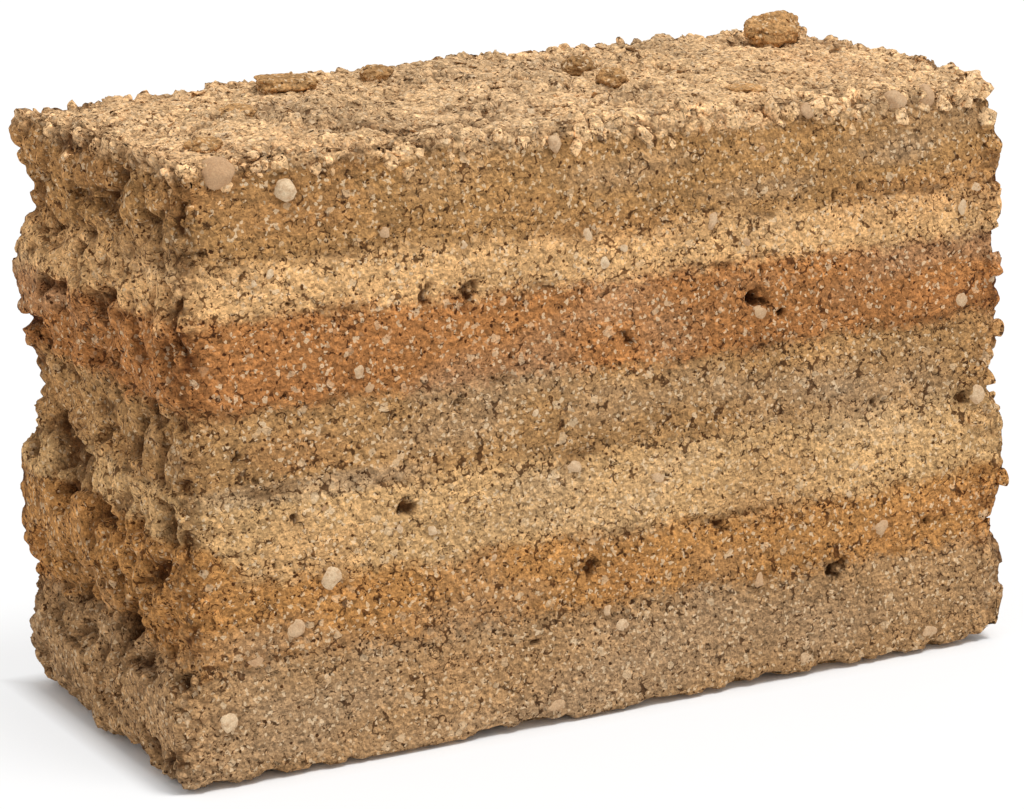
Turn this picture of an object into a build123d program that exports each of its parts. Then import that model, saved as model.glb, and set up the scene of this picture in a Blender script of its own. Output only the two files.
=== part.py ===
import os
from math import cos, pi, radians, sin

from build123d import *

# Rammed earth block: damp earth beaten down in seven lifts, one on another, in a straight-sided form.
# Millimetres. X runs along the block, Y from the front face to the back face, Z up from the bed.
# The origin is the middle of the bed, the flat face that the block rests on.

# Overall size over the lumps
block_length = 411.0
block_width = 163.0

# Lifts, from the foot up: how thick each was left by the rammer
grey_foot_thickness = 55.0
ochre_thickness = 24.0
cream_thickness = 41.0
grey_thickness = 34.0
red_thickness = 34.0
olive_thickness = 24.0
tan_top_thickness = 40.0

# Faces: the front leans back as it rises, and each lift bellies out between its joints
front_batter = 12.0
front_belly = 0.6
back_belly = 0.9
corner_wear = 5.0

# Top: beaten into a low crown that is highest behind the middle and falls at both ends
crown_rise = 9.5
crown_place = 0.75
back_fall = 1.0
left_fall = 8.5
right_fall = 3.0
arris_wear = 3.0
dressing = 1.0

# Ends: how far back from the block's overall ends the earth stands at the bed, at each lift joint
# and at the top, and in the middle of each lift; one column for each upright corner of the block
joint_front_left = [15.0, 11.0, 7.8, 9.4, 14.0, 11.7, 12.6, 9.0]
joint_back_left = [16.9, 10.5, 0.0, 8.0, 9.2, 1.2, 11.5, 3.5]
joint_front_right = [13.0, 10.6, 2.6, 9.6, 5.6, 6.4, 4.4, 11.0]
joint_back_right = [11.0, 8.5, 5.0, 9.0, 6.0, 8.0, 6.5, 11.0]
belly_front_left = [6.6, 9.0, 8.6, 10.6, 12.4, 12.0, 12.2]
belly_back_left = [7.1, 5.4, 1.6, 12.0, 5.0, 5.6, 5.6]
belly_front_right = [0.0, 4.4, 1.4, 5.8, 4.4, 3.2, 6.6]
belly_back_right = [3.5, 5.5, 3.0, 6.5, 4.0, 5.0, 6.0]

# Scars that clods have left in the ends: place across from the front, lift, height within it, breadth,
# height, depth, number of sides, turn in the face
left_scars = [
    (0.62, "tan_top", 0.38, 22.0, 18.0, 4.5, 7, 0.0),
    (0.26, "tan_top", 0.22, 20.0, 16.0, 4.0, 6, 20.0),
    (0.88, "tan_top", 0.34, 18.0, 16.0, 4.0, 7, -10.0),
    (0.43, "olive", 0.20, 30.0, 20.0, 5.5, 7, 10.0),
    (0.80, "olive", 0.75, 26.0, 20.0, 5.0, 6, 25.0),
    (0.14, "olive", 0.50, 20.0, 18.0, 4.0, 6, 5.0),
    (0.56, "red", 0.20, 28.0, 18.0, 5.0, 6, -15.0),
    (0.88, "red", 0.15, 22.0, 24.0, 5.5, 7, 0.0),
    (0.26, "red", 0.55, 22.0, 16.0, 4.0, 6, 30.0),
    (0.74, "red", 0.72, 20.0, 16.0, 4.0, 6, 15.0),
    (0.42, "grey", 0.25, 22.0, 16.0, 4.0, 7, 0.0),
    (0.16, "grey", 0.70, 20.0, 26.0, 5.5, 7, -10.0),
    (0.70, "grey", 0.45, 26.0, 18.0, 4.0, 6, 15.0),
    (0.30, "cream", 0.52, 24.0, 16.0, 6.0, 6, 0.0),
    (0.52, "cream", 0.50, 26.0, 18.0, 6.5, 7, 20.0),
    (0.90, "cream", 0.72, 18.0, 20.0, 4.0, 6, -15.0),
    (0.74, "cream", 0.35, 20.0, 18.0, 4.5, 7, 10.0),
    (0.12, "cream", 0.30, 16.0, 18.0, 4.0, 6, 0.0),
    (0.60, "ochre", 0.35, 24.0, 16.0, 4.5, 7, -8.0),
    (0.88, "ochre", 0.60, 24.0, 22.0, 5.0, 6, 10.0),
    (0.12, "ochre", 0.50, 18.0, 24.0, 5.0, 7, -20.0),
    (0.40, "grey_foot", 0.90, 26.0, 22.0, 5.0, 6, 0.0),
    (0.64, "grey_foot", 0.72, 24.0, 20.0, 5.0, 7, 35.0),
    (0.24, "grey_foot", 0.42, 24.0, 20.0, 4.5, 6, 15.0),
    (0.48, "grey_foot", 0.36, 22.0, 18.0, 4.5, 7, 0.0),
    (0.86, "grey_foot", 0.40, 22.0, 20.0, 4.0, 7, -5.0),
]
right_scars = [
    (0.30, "tan_top", 0.40, 26.0, 20.0, 4.0, 6, 20.0),
    (0.64, "tan_top", 0.32, 22.0, 16.0, 4.0, 7, 10.0),
    (0.72, "olive", 0.50, 28.0, 20.0, 5.0, 7, 0.0),
    (0.42, "olive", 0.40, 20.0, 16.0, 4.0, 6, 0.0),
    (0.24, "red", 0.70, 24.0, 22.0, 5.0, 6, 12.0),
    (0.55, "red", 0.20, 26.0, 18.0, 5.0, 7, -15.0),
    (0.82, "grey", 0.60, 22.0, 24.0, 4.5, 6, 5.0),
    (0.36, "grey", 0.30, 28.0, 18.0, 5.0, 7, 25.0),
    (0.64, "cream", 0.40, 26.0, 22.0, 5.5, 6, 0.0),
    (0.20, "cream", 0.35, 20.0, 20.0, 4.5, 7, 10.0),
    (0.46, "cream", 0.80, 20.0, 14.0, 4.0, 6, 15.0),
    (0.54, "ochre", 0.30, 22.0, 16.0, 4.0, 7, 0.0),
    (0.84, "ochre", 0.40, 22.0, 20.0, 5.0, 6, -10.0),
    (0.42, "grey_foot", 0.75, 26.0, 20.0, 4.5, 7, 15.0),
    (0.70, "grey_foot", 0.40, 28.0, 22.0, 5.0, 6, 30.0),
]

# Dents in the dressed top: place along from the left, place across from the front, length, width, depth,
# number of sides, turn in the face
top_dents = [
    (0.11, 0.62, 46.0, 34.0, 3.0, 7, 10.0),
    (0.22, 0.30, 44.0, 32.0, 2.5, 6, 30.0),
    (0.34, 0.56, 54.0, 36.0, 3.0, 7, 0.0),
    (0.45, 0.24, 46.0, 32.0, 2.5, 6, 15.0),
    (0.50, 0.74, 46.0, 32.0, 2.5, 7, 40.0),
    (0.67, 0.54, 56.0, 36.0, 3.0, 7, -10.0),
    (0.80, 0.30, 44.0, 32.0, 2.5, 6, 20.0),
    (0.86, 0.58, 44.0, 30.0, 2.5, 7, 0.0),
]

# Crust broken off the upper arrises and earth off the lower ones: front or back, upper or lower, place
# along from the left, length, width, depth, number of sides, turn in the face
arris_notches = [
    ("front", "upper", 0.10, 26.0, 12.0, 3.0, 6, 0.0),
    ("front", "upper", 0.27, 34.0, 12.0, 3.0, 7, 8.0),
    ("front", "upper", 0.43, 24.0, 12.0, 3.5, 6, -6.0),
    ("front", "upper", 0.56, 30.0, 14.0, 3.0, 7, 0.0),
    ("front", "upper", 0.68, 22.0, 13.0, 4.0, 6, 10.0),
    ("front", "upper", 0.79, 28.0, 14.0, 4.0, 7, -8.0),
    ("front", "upper", 0.90, 20.0, 13.0, 3.5, 6, 0.0),
    ("front", "lower", 0.13, 30.0, 13.0, 3.0, 6, 0.0),
    ("front", "lower", 0.34, 36.0, 14.0, 3.5, 7, 6.0),
    ("front", "lower", 0.52, 26.0, 13.0, 3.0, 6, -8.0),
    ("front", "lower", 0.71, 32.0, 14.0, 3.5, 7, 0.0),
    ("back", "upper", 0.18, 30.0, 13.0, 3.0, 6, 0.0),
    ("back", "upper", 0.47, 34.0, 13.0, 3.5, 7, 6.0),
    ("back", "upper", 0.74, 28.0, 13.0, 3.0, 6, -6.0),
    ("back", "lower", 0.29, 34.0, 13.0, 3.0, 7, 0.0),
    ("back", "lower", 0.66, 30.0, 13.0, 3.0, 6, 5.0),
]

# How a scar, a dent or a notch opens: the lip that it is cut from, and the shares of its breadth and
# height at that lip and at its floor
scar_lip = 5.0
scar_mouth = 1.25
scar_floor = 0.45

# Gullies worn down over the left arris: place across from the front, radius, depth, run
gullies = [
    (0.34, 8.0, 4.5, 56.0),
    (0.64, 7.0, 4.0, 40.0),
]
gully_tail = 0.3  # share of the radius that is left where it runs out

# Pits in the front face: place along from the left, lift, height within it, radius, number of sides
pits = [
    (0.131, "olive", 0.30, 2.6, 5),
    (0.326, "red", 0.84, 3.2, 6),
    (0.509, "red", 0.22, 3.0, 6),
    (0.667, "red", 0.52, 5.2, 7),
    (0.702, "red", 0.28, 3.2, 5),
    (0.311, "grey", 0.68, 2.6, 6),
    (0.071, "grey", 0.48, 2.6, 5),
    (0.250, "cream", 0.60, 3.6, 6),
    (0.816, "cream", 0.84, 2.6, 5),
    (0.928, "cream", 0.80, 3.2, 6),
    (0.617, "ochre", 0.72, 2.9, 5),
    (0.455, "ochre", 0.46, 3.1, 6),
    (0.884, "ochre", 0.26, 3.2, 5),
    (0.762, "grey_foot", 0.85, 4.4, 7),
    (0.387, "grey_foot", 0.68, 2.7, 5),
    (0.795, "tan_top", 0.14, 2.7, 6),
]
pit_lip = 1.5
pit_mouth = 1.15  # shares of the radius at the mouth and at the floor
pit_floor = 0.45

# Lower front corner knocked off at the right, the size of the blow and how deep it bit
chip_radius = 40.0
chip_bite = 14.0

# Stones and hard clods left standing in the top: place along from the left, place across from the
# front, breadth, height that stands out, number of sides, turn about the upright
top_stones = [
    (0.886, 0.795, 27.0, 13.5, 7, 20.0),
    (0.594, 0.634, 18.0, 7.0, 6, 5.0),
    (0.598, 0.478, 14.0, 6.0, 7, 40.0),
    (0.382, 0.789, 19.0, 6.0, 6, 12.0),
    (0.275, 0.779, 30.0, 6.0, 8, 30.0),
    (0.172, 0.520, 22.0, 5.0, 7, 0.0),
    (0.085, 0.250, 17.0, 5.0, 6, 25.0),
    (0.700, 0.230, 20.0, 4.5, 7, 15.0),
]
stone_root = 9.0
stone_foot = 0.40  # shares of the breadth: half-widths at the root, where it leaves the earth, and on top
stone_waist = 0.50
stone_crown = 0.24

# Heights of the lift joints above the bed
lift_names = ["grey_foot", "ochre", "cream", "grey", "red", "olive", "tan_top"]
thicknesses = [
    grey_foot_thickness,
    ochre_thickness,
    cream_thickness,
    grey_thickness,
    red_thickness,
    olive_thickness,
    tan_top_thickness,
]
joints = [0.0]
for thickness in thicknesses:
    joints.append(joints[-1] + thickness)
front_top = joints[-1]
crown_top = front_top + crown_rise
end_x = block_length / 2
side_y = block_width / 2


def front_y(height):
    return -side_y + front_batter * height / front_top


def height_in(lift, share):
    return joints[lift] + share * thicknesses[lift]


def place_x(along):
    return (along - 0.5) * block_length


def place_y(across):
    return (across - 0.5) * block_width


def between(low, high, share):
    return low + (high - low) * share


def end_setback(joint_sides, belly_sides, across, lift, share):
    # how far back an end stands at one place on it, taken from its two upright corners
    corner_setbacks = []
    for at_joint, at_belly in zip(joint_sides, belly_sides):
        if share < 0.5:
            corner_setbacks.append(between(at_joint[lift], at_belly[lift], share * 2))
        else:
            corner_setbacks.append(between(at_belly[lift], at_joint[lift + 1], share * 2 - 1))
    return between(corner_setbacks[0], corner_setbacks[1], across)


def top_height(along, across):
    # height of the dressed top at one place on it
    run = crown_place if across < crown_place else 1 - crown_place
    drop = crown_rise if across < crown_place else back_fall
    from_crown = crown_top - drop * ((across - crown_place) / run) ** 2
    end_fall = left_fall if along < 0.5 else right_fall
    from_ends = crown_top - end_fall * (2 * along - 1) ** 2
    return min(from_crown, from_ends)


def outline(front_left, back_left, front_right, back_right, front_edge, back_edge):
    # plan of the block at one height, its four corners worn back
    Polygon(
        (-end_x + front_left, front_edge),
        (end_x - front_right, front_edge),
        (end_x - back_right, back_edge),
        (-end_x + back_left, back_edge),
        align=None,
    )
    chamfer(vertices(), length=corner_wear)


def scar_outline(breadth, height, sides, turn):
    # ragged oval, seen square on
    corners = []
    for corner in range(sides):
        around = 2 * pi * corner / sides + radians(turn)
        corners.append((breadth / 2 * cos(around), height / 2 * sin(around)))
    Polygon(*corners, align=None)


def lip_plane(place, outward, level_way):
    # plane just outside one place on the surface, looking in
    return Plane(origin=place + outward * scar_lip, x_dir=level_way, z_dir=outward * -1)


def joint_outline(index, wear):
    outline(
        joint_front_left[index] + wear,
        joint_back_left[index] + wear,
        joint_front_right[index] + wear,
        joint_back_right[index] + wear,
        front_y(joints[index]) + wear,
        side_y - back_belly - wear,
    )


def belly_outline(lift):
    outline(
        belly_front_left[lift],
        belly_back_left[lift],
        belly_front_right[lift],
        belly_back_right[lift],
        front_y(height_in(lift, 0.5)) - front_belly,
        side_y,
    )


left_joint_sides = (joint_front_left, joint_back_left)
left_belly_sides = (belly_front_left, belly_back_left)
right_joint_sides = (joint_front_right, joint_back_right)
right_belly_sides = (belly_front_right, belly_back_right)
top_lift = len(thicknesses) - 1

# Where the scars, dents and notches are cut from, each plane looking into the earth
scar_cuts = []
for scars, outward, joint_sides, belly_sides in (
    (left_scars, -1, left_joint_sides, left_belly_sides),
    (right_scars, 1, right_joint_sides, right_belly_sides),
):
    for across, lift_name, share, breadth, height, depth, sides, turn in scars:
        lift = lift_names.index(lift_name)
        face_x = outward * (end_x - end_setback(joint_sides, belly_sides, across, lift, share))
        place = Vector(face_x, place_y(across), height_in(lift, share))
        mouth_plane = lip_plane(place, Vector(outward, 0, 0), Vector(0, 1, 0))
        scar_cuts.append((mouth_plane, breadth, height, depth, sides, turn))
for along, across, breadth, height, depth, sides, turn in top_dents:
    place = Vector(place_x(along), place_y(across), top_height(along, across))
    mouth_plane = lip_plane(place, Vector(0, 0, 1), Vector(1, 0, 0))
    scar_cuts.append((mouth_plane, breadth, height, depth, sides, turn))
for face, edge, along, breadth, height, depth, sides, turn in arris_notches:
    across = 0.0 if face == "front" else 1.0
    edge_z = top_height(along, across) if edge == "upper" else 0.0
    edge_y = front_y(edge_z) if face == "front" else side_y
    outward = Vector(0, -1 if face == "front" else 1, 1 if edge == "upper" else -1).normalized()
    mouth_plane = lip_plane(Vector(place_x(along), edge_y, edge_z), outward, Vector(1, 0, 0))
    scar_cuts.append((mouth_plane, breadth, height, depth, sides, turn))

with BuildPart() as block:
    # the lifts, rammed from the foot up; the last one stands above the crown until it is dressed
    for lift in range(len(thicknesses)):
        wear = arris_wear if lift == top_lift else 0.0
        rim = crown_top + dressing if lift == top_lift else joints[lift + 1]
        with BuildSketch(Plane.XY.offset(joints[lift])):
            joint_outline(lift, 0.0)
        with BuildSketch(Plane.XY.offset(height_in(lift, 0.5))):
            belly_outline(lift)
        with BuildSketch(Plane.XY.offset(rim)):
            joint_outline(lift + 1, wear)
        loft()

    # crown of the top, seen from the end
    with BuildSketch(Plane.YZ.offset(-block_length)):
        with BuildLine():
            ThreePointArc(
                (-side_y, front_top),
                (place_y(crown_place), crown_top),
                (side_y, crown_top - back_fall),
            )
            Polyline(
                (side_y, crown_top - back_fall),
                (side_y, 2 * crown_top),
                (-side_y, 2 * crown_top),
                (-side_y, front_top),
            )
        make_face()
    extrude(amount=2 * block_length, mode=Mode.SUBTRACT)

    # fall of the top toward both ends, seen from the front
    with BuildSketch(Plane.XZ.offset(-block_width)):
        with BuildLine():
            ThreePointArc(
                (-end_x, crown_top - left_fall),
                (0, crown_top),
                (end_x, crown_top - right_fall),
            )
            Polyline(
                (end_x, crown_top - right_fall),
                (end_x, 2 * crown_top),
                (-end_x, 2 * crown_top),
                (-end_x, crown_top - left_fall),
            )
        make_face()
    extrude(amount=2 * block_width, mode=Mode.SUBTRACT)

    # scars, dents and notches, ragged mouths that narrow inward
    lost_earth = []
    for mouth_plane, breadth, height, depth, sides, turn in scar_cuts:
        with BuildSketch(mouth_plane):
            scar_outline(breadth * scar_mouth, height * scar_mouth, sides, turn)
        with BuildSketch(mouth_plane.offset(scar_lip + depth)):
            scar_outline(breadth * scar_floor, height * scar_floor, sides, turn)
        lost_earth.append(loft(ruled=True, mode=Mode.PRIVATE))

    # pits in the front face, ragged mouths that narrow inward
    for along, lift_name, share, radius, sides in pits:
        pit_height = height_in(lift_names.index(lift_name), share)
        mouth = (place_x(along), front_y(pit_height) - front_belly - pit_lip, pit_height)
        face_plane = Plane(origin=mouth, x_dir=(1, 0, 0), z_dir=(0, 1, 0))
        with BuildSketch(face_plane):
            RegularPolygon(radius * pit_mouth, sides)
        with BuildSketch(face_plane.offset(pit_lip + radius)):
            RegularPolygon(radius * pit_floor, sides)
        lost_earth.append(loft(ruled=True, mode=Mode.PRIVATE))
    add(lost_earth, mode=Mode.SUBTRACT)

    # gullies down from the left arris, running out to nothing
    for across, radius, depth, run in gullies:
        face_x = -end_x + end_setback(left_joint_sides, left_belly_sides, across, top_lift, 0.5)
        with Locations((face_x + depth - radius, place_y(across), crown_top - run / 2)):
            Cone(
                bottom_radius=radius * gully_tail,
                top_radius=radius,
                height=run,
                rotation=(0, 0, 180),
                mode=Mode.SUBTRACT,
            )

    # knocked corner at the foot
    blow = (chip_radius - chip_bite) / 3**0.5
    with Locations((end_x - joint_front_right[0] + blow, -side_y - blow, -blow)):
        Sphere(chip_radius, mode=Mode.SUBTRACT)

    # stones that the rammer left standing in the top
    stones = []
    for along, across, breadth, proud, sides, turn in top_stones:
        bedding = (place_x(along), place_y(across), top_height(along, across) - stone_root)
        seat = Plane(origin=bedding, x_dir=(1, 0, 0), z_dir=(0, 0, 1)).rotated((0, 0, turn))
        with BuildSketch(seat):
            RegularPolygon(breadth * stone_foot, sides)
        with BuildSketch(seat.offset(stone_root)):
            RegularPolygon(breadth * stone_waist, sides)
        with BuildSketch(seat.offset(stone_root + proud)):
            RegularPolygon(breadth * stone_crown, sides)
        stones.append(loft(ruled=True, mode=Mode.PRIVATE))
    add(stones)

block.part.label = "rammed_earth_block"

os.makedirs("parts", exist_ok=True)
export_step(block.part, "parts/rammed_earth_block.step")
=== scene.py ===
import functools
import math

import bmesh
import bpy
import numpy as np
from mathutils import Matrix, Vector, kdtree


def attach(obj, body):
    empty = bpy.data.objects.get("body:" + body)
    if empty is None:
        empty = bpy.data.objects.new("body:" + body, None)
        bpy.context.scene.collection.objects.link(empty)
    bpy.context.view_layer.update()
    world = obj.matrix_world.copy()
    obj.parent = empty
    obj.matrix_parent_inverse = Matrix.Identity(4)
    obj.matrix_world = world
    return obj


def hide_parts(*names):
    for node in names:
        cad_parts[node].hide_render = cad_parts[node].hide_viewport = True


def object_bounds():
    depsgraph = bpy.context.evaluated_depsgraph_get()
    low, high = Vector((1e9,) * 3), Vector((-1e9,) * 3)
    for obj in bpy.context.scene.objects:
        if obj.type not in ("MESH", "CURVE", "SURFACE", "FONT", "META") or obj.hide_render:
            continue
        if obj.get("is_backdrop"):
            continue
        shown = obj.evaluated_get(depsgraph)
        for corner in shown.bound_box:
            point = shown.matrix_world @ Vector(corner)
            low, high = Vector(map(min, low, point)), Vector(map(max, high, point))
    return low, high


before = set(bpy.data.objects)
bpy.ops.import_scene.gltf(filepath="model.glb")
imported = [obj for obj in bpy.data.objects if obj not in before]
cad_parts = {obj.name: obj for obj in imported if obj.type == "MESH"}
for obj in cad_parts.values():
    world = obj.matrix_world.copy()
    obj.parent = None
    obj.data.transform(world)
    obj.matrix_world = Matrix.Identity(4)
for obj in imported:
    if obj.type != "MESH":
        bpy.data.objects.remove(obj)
cadLow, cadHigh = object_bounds()
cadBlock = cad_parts["rammed_earth_block"]
boxLow = np.array(cadLow)
boxHigh = np.array(cadHigh)
blockMiddle = (boxLow + boxHigh) / 2
blockHalf = (boxHigh - boxLow) / 2
rng = np.random.default_rng(1407)
print("frame loaded", [round(v, 4) for v in boxHigh - boxLow])


# Noise made in the block's own space, in metres
octaveFade = 0.55
creviceWidth = 0.42


def hashCells(cells, seed):
    h = cells[..., 0].astype(np.int64) * 73856093
    h ^= cells[..., 1].astype(np.int64) * 19349663
    h ^= cells[..., 2].astype(np.int64) * 83492791
    h = (h + seed * 2654435761) & 0xFFFFFFFF
    h = ((h ^ (h >> 15)) * 0x2C1B3C6D) & 0xFFFFFFFF
    h = ((h ^ (h >> 12)) * 0x297A2D39) & 0xFFFFFFFF
    h ^= h >> 15
    return h / 4294967295.0


def smoothNoise(points, size, seed):  # value noise from -1 to 1, size may differ by axis
    scaled = points / np.asarray(size)
    base = np.floor(scaled).astype(np.int64)
    part = scaled - base
    part = part * part * part * (part * (part * 6 - 15) + 10)
    total = np.zeros(len(points))
    for corner in np.ndindex(2, 2, 2):
        weight = np.ones(len(points))
        for axis in range(3):
            weight = weight * (part[:, axis] if corner[axis] else 1 - part[:, axis])
        total += weight * hashCells(base + np.array(corner), seed)
    return total * 2 - 1


def roughNoise(points, size, octaves, seed):
    total = np.zeros(len(points))
    strength = 1.0
    whole = 0.0
    for octave in range(octaves):
        total += strength * smoothNoise(points, np.asarray(size) / 2**octave, seed + octave * 17)
        whole += strength
        strength *= octaveFade
    return total / whole


def warped(points, amount, size, seed):  # bends a place so that clods lose their regular look
    shift = np.stack([smoothNoise(points, size, seed + axis) for axis in range(3)], axis=1)
    return points + amount * shift


def smoothStep(low, high, value):
    share = np.clip((value - low) / (high - low), 0, 1)
    return share * share * (3 - 2 * share)


def cells(points, size, seed):  # body: 0 in a crevice, 1 on a clod; own: the clod's number from 0 to 1
    scaled = points / np.asarray(size)
    base = np.floor(scaled).astype(np.int64)
    first = np.full(len(points), 9.0)
    second = np.full(len(points), 9.0)
    own = np.zeros(len(points))
    for step in np.ndindex(3, 3, 3):
        cell = base + np.array(step) - 1
        centre = np.stack([hashCells(cell, seed + axis) for axis in range(3)], axis=1) + cell
        gap = np.linalg.norm(centre - scaled, axis=1)
        nearer = gap < first
        second = np.where(nearer, first, np.minimum(second, gap))
        own = np.where(nearer, hashCells(cell, seed + 7), own)
        first = np.where(nearer, gap, first)
    return smoothStep(0, creviceWidth, second - first), own


# Fields that relief and colour are drawn from: size in metres, octaves and seed
noiseFields = {
    "jointWave": ((0.1, 0.09, 0.3), 2, 3),
    "jointRipple": ((0.03, 0.03, 0.02), 2, 5),
    "jointRagged": ((0.011, 0.011, 0.008), 3, 7),
    "looseDrift": ((0.045, 0.045, 0.018), 3, 97),
    "colourDrift": ((0.075, 0.075, 0.03), 3, 13),
    "toneDrift": ((0.034, 0.034, 0.024), 4, 19),
    "faceLumps": (0.055, 2, 11),
    "faceRough": (0.009, 3, 23),
    "endLumps": ((0.022, 0.019, 0.032), 2, 31),
    "endPores": ((0.0074, 0.0066, 0.0088), 2, 39),
    "endPockets": ((0.018, 0.016, 0.014), 2, 37),
    "topCrust": (0.036, 3, 53),
    "topLoose": (0.03, 2, 63),
    "topPores": ((0.007, 0.007, 0.007), 2, 65),
    "jointSlits": ((0.018, 0.018, 0.006), 2, 71),
    "footSwells": ((0.03, 0.022, 0.06), 2, 93),
    "footLoss": ((0.015, 0.015, 0.03), 3, 91),
}

# Fields of clods: size of one clod, seed, how far its outline is bent and over what length
clodFields = {
    "endKnobs": {"size": (0.013, 0.0115, 0.0125), "seed": 41, "bend": 0.006, "bendSize": 0.02},
    "topClods": {"size": (0.0125, 0.0125, 0.01), "seed": 61, "bend": 0.005, "bendSize": 0.012},
    "topBits": {"size": 0.0058, "seed": 67, "bend": 0.002, "bendSize": 0.006},
    "arrisBlocks": {"size": (0.0105, 0.0105, 0.0075), "seed": 83, "bend": 0.004, "bendSize": 0.01},
}
clodStand = {"level": 0.65, "spread": 0.9}


def noiseAt(points, name):
    return roughNoise(points, *noiseFields[name])


def clodsAt(points, name):  # how far a place stands out of the common level, and how deep in a crevice it is
    field = clodFields[name]
    bent = warped(points, field["bend"], field["bendSize"], field["seed"] + 11)
    body, own = cells(bent, field["size"], field["seed"])
    return body - clodStand["level"] + clodStand["spread"] * (own - 0.5), (1 - body) ** 2


# Lifts: joint heights in the middle of the block, and how the joints rise toward the ends
lifts = {
    "joints": [0.047, 0.0775, 0.1145, 0.151, 0.1885, 0.2095],
    "crustJoint": 0.247,
    "endRise": 0.006,
    "endRiseUpper": 0.25,  # share of that rise that the upper lifts have
    "lowLifts": (0.1, 0.2),
    "wave": 0.0042,
    "ripple": 0.0026,
    "ragged": 0.004,
    "leftRise": 0.022,  # the ochre lift swells upward in the left end
    "leftRiseAt": 0.093,
    "leftRiseReach": 0.02,
    "leftFrom": (0.165, 0.195),
}

# Where the earth is coarse and open, and where it is lighter
openEarth = {
    "joint": 0.62,
    "jointReach": 0.011,
    "drift": 0.55,
    "everywhere": 0.2,
    "range": (0.05, 0.85),
    "end": 0.45,
    "endFrom": (0.175, 0.192),
    "most": 1.2,
}
earthTone = {"drift": 0.24, "end": 0.12, "endFrom": (0.178, 0.196)}

# Patches of the front that are greyer (above 0) or rustier (below 0): along, up, length, height, strength
facePatches = [
    (-0.145, 0.119, 0.11, 0.014, 0.9),
    (0.11, 0.138, 0.17, 0.032, 0.5),
    (0.06, 0.228, 0.2, 0.028, 0.4),
    (0.02, 0.02, 0.3, 0.038, 0.3),
    (-0.14, 0.168, 0.13, 0.036, -0.5),
    (0.175, 0.168, 0.06, 0.022, -0.5),
    (-0.13, 0.068, 0.12, 0.024, -0.4),
    (0.165, 0.07, 0.08, 0.018, -0.4),
]
patchRim = (0.5, 1.2)


def liftLevel(points):  # height in the lifts: a joint keeps the same level wherever it waves to
    reach = (points[:, 0] / blockHalf[0]) ** 2
    low = 1 - smoothStep(*lifts["lowLifts"], points[:, 2])
    wave = lifts["wave"] * noiseAt(points, "jointWave")
    ripple = lifts["ripple"] * noiseAt(points, "jointRipple")
    atLeft = smoothStep(*lifts["leftFrom"], -points[:, 0])
    swell = np.exp(-((points[:, 2] - lifts["leftRiseAt"]) / lifts["leftRiseReach"]) ** 2)
    upper = lifts["endRiseUpper"]
    rise = lifts["endRise"] * reach * (upper + (1 - upper) * low) + lifts["leftRise"] * atLeft * swell
    return points[:, 2] - rise - wave - ripple


def jointNearness(level, reach):  # 1 on a joint, 0 at reach from it
    gaps = np.min([np.abs(level - joint) for joint in lifts["joints"]], axis=0)
    return np.clip(1 - gaps / reach, 0, 1)


def coarseness(points, level):  # loose, open earth near the joints and in drifts, fine earth between
    look = openEarth
    atEnd = smoothStep(*look["endFrom"], np.abs(points[:, 0]))
    loose = look["joint"] * jointNearness(level, look["jointReach"])
    loose = loose + look["drift"] * noiseAt(points, "looseDrift") + look["everywhere"]
    return np.clip(smoothStep(*look["range"], loose) + look["end"] * atEnd, 0, look["most"])


def faceGap(points, along, up, length, height):  # 1 on the outline of an oval on the front face
    return np.hypot((points[:, 0] - along) / length, (points[:, 2] - up) / height) * 2


def colourDrift(points):
    drift = noiseAt(points, "colourDrift")
    front = points[:, 1] < 0
    for along, up, length, height, strength in facePatches:
        gap = faceGap(points, along, up, length, height)
        drift += np.where(front, strength * (1 - smoothStep(*patchRim, gap)), 0)
    return drift


def earthValues(points):  # what the finish reads at each place
    level = liftLevel(points)
    atEnd = smoothStep(*earthTone["endFrom"], np.abs(points[:, 0]))
    return {
        "liftLevel": level + lifts["ragged"] * noiseAt(points, "jointRagged"),
        "coarseness": coarseness(points, level),
        "drift": colourDrift(points),
        "tone": 1 + earthTone["drift"] * noiseAt(points, "toneDrift") + earthTone["end"] * atEnd,
    }


def setValues(mesh, values):
    for name, numbers in values.items():
        layer = mesh.attributes.new(name, "FLOAT", "POINT")
        layer.data.foreach_set("value", np.asarray(numbers, np.float32))


def setBakeMap(mesh, spots):  # one flat place in the map for each point of the mesh
    layer = mesh.uv_layers.new(name="OFBake")
    corners = np.empty(len(mesh.loops), np.int32)
    mesh.loops.foreach_get("vertex_index", corners)
    layer.data.foreach_set("uv", spots[corners].astype(np.float32).ravel())


def insideBox(points, side, foot):  # keeps a piece a little inside the solid's box
    return np.clip(points, boxLow + np.array([side, side, foot]), boxHigh - side)


def newMesh(name, points, faces, smooth):
    mesh = bpy.data.meshes.new(name)
    mesh.from_pydata(points.tolist(), [], faces.tolist())
    mesh.polygons.foreach_set("use_smooth", np.full(len(mesh.polygons), smooth))
    return mesh


def addToScene(name, data):
    thing = bpy.data.objects.new(name, data)
    bpy.context.scene.collection.objects.link(thing)
    return thing


def addPiece(name, mesh):
    piece = addToScene(name, mesh)
    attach(piece, "root")
    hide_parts("rammed_earth_block")
    return piece


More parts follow.
